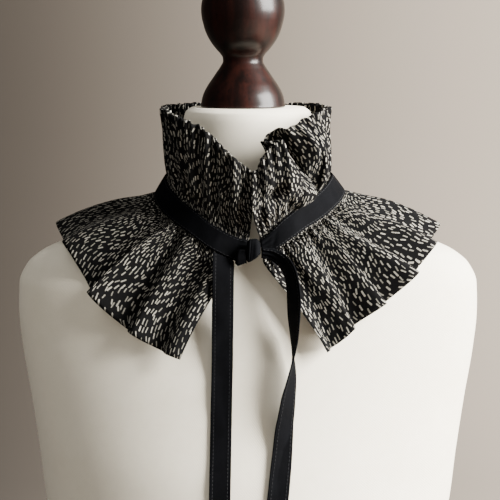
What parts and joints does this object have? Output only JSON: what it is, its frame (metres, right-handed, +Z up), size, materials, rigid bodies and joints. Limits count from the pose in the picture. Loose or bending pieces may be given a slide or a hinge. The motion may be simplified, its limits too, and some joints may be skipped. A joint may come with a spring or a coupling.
{
  "type": "ruffled collar on a dress form",
  "caption": "Printed cotton ruffled collar with a standing frill and a falling ruffle, tied with black tape round the neck of a limbless dress form with a turned finial.",
  "frame": {"origin": "centre of the flat underside of the dress form", "axes": "+Z up along the neck, -Y to the wearer's front, +X to the right as seen from the front"},
  "size_m": [0.377, 0.2489, 0.7895],
  "materials": {
    "printed_cotton": "matt black cotton printed with small cream dashes",
    "black_tape": "matt black cotton tape with stitched edges",
    "ivory_jersey": "smooth ivory jersey stretched over the form",
    "turned_wood": "dark red-brown turned wood under gloss varnish"
  },
  "bodies": {
    "root": {"form_body": "ivory_jersey", "form_finial": "turned_wood", "upper_frill": "printed_cotton", "lower_ruffle": "printed_cotton", "neck_tape": "black_tape", "tie_knot": "black_tape", "tie_loop": "black_tape", "tie_tail_left": "black_tape", "tie_tail_right": "black_tape"}
  },
  "joints": []
}
